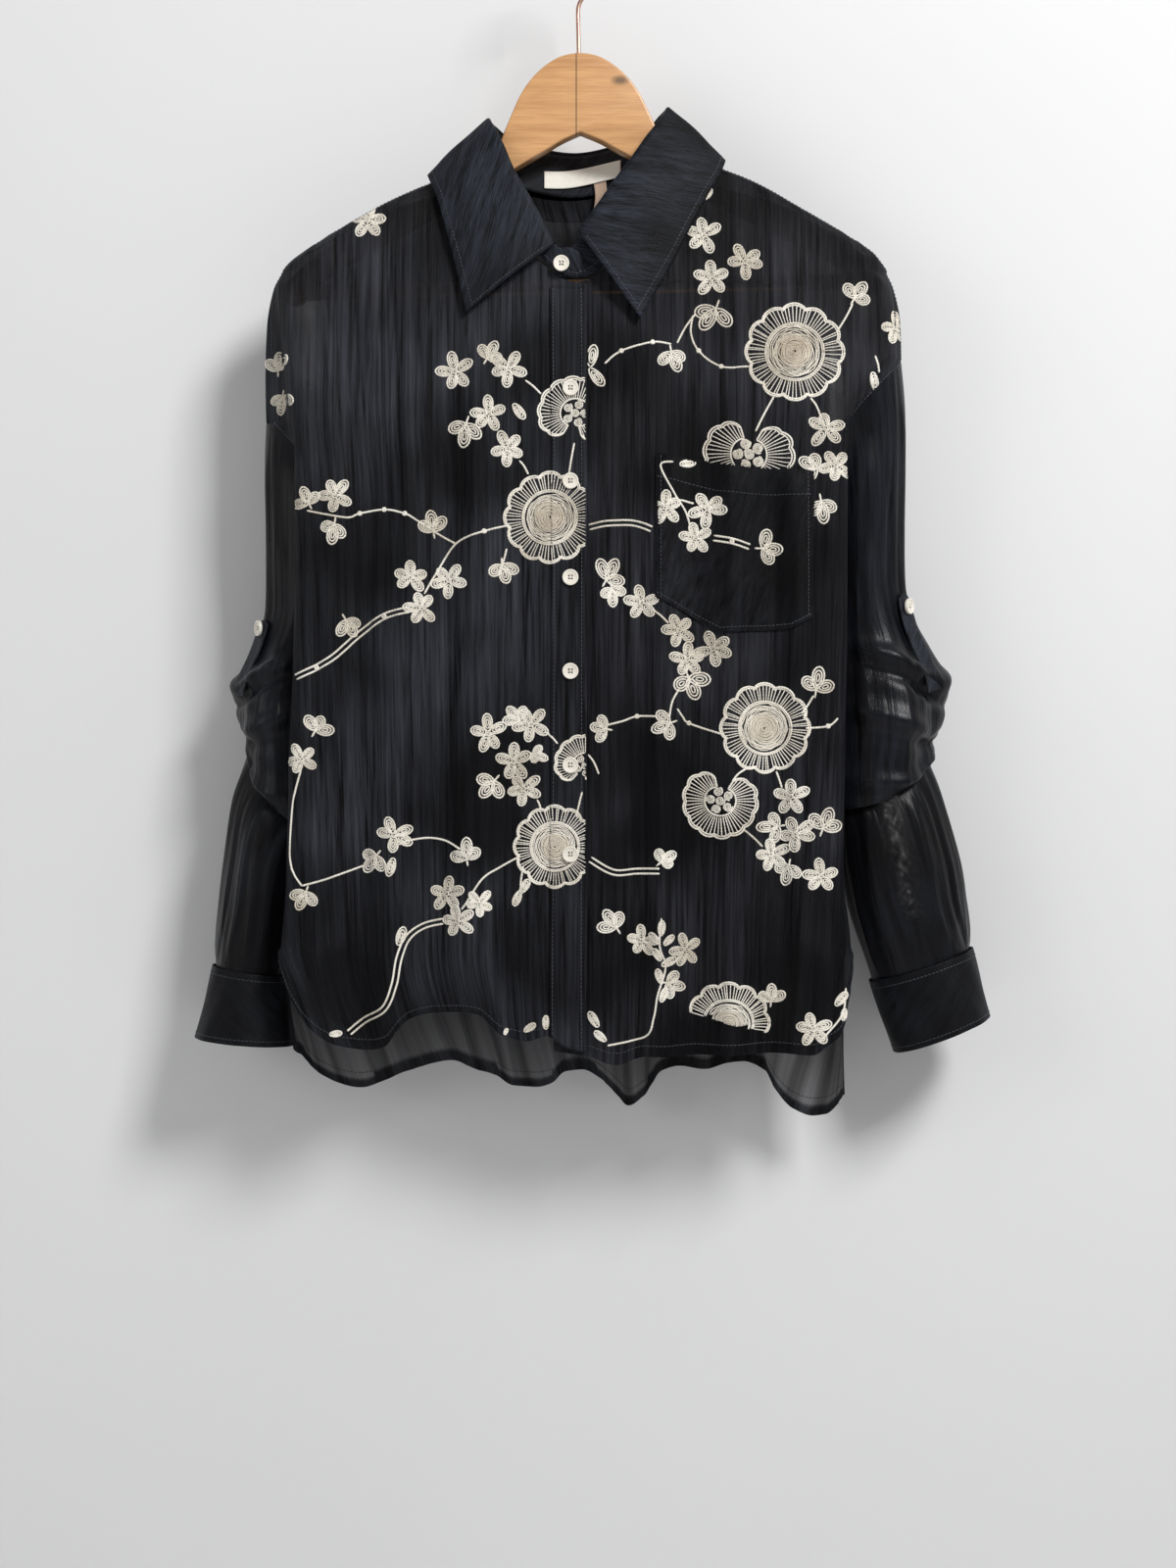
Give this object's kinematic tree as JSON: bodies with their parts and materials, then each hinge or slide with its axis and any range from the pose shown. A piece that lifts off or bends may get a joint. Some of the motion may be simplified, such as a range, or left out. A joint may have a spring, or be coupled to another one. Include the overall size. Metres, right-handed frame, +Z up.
{
  "type": "embroidered button-up shirt on a wooden hanger",
  "caption": "Sheer black cotton shirt with cream embroidery, point collar, drop shoulders, chest pocket and roll-up tabs, hung on a wooden hanger by its wire hook.",
  "frame": {"origin": "inside top of the hanger's hook, where it hangs", "axes": "+X to the wearer's left, -Y the way the shirt's front faces, +Z up"},
  "size_m": [0.5932, 0.113, 0.8795],
  "materials": {
    "cloth": "sheer crinkled cotton voile, matt",
    "button": "cream, softly polished",
    "label": "blank woven tape",
    "wood": "clear satin varnish",
    "wire": "copper-coloured plated wire"
  },
  "bodies": {
    "root": {"back": "cloth", "front_left": "cloth", "front_right": "cloth", "placket": "cloth", "pocket": "cloth", "collar_leaf": "cloth", "collar_stand": "cloth", "sleeve_left": "cloth", "sleeve_right": "cloth", "cuff_left": "cloth", "cuff_right": "cloth", "tab_left": "cloth", "tab_right": "cloth", "button_stand": "button", "button_front_1": "button", "button_front_2": "button", "button_front_3": "button", "button_front_4": "button", "button_front_5": "button", "button_front_6": "button", "button_tab_left": "button", "button_tab_right": "button", "button_cuff_left": "button", "button_cuff_right": "button", "neck_label": "label", "label_tail": "label", "hanger_wood": "wood", "hanger_bar": "wood", "hanger_hook": "wire"}
  },
  "joints": []
}
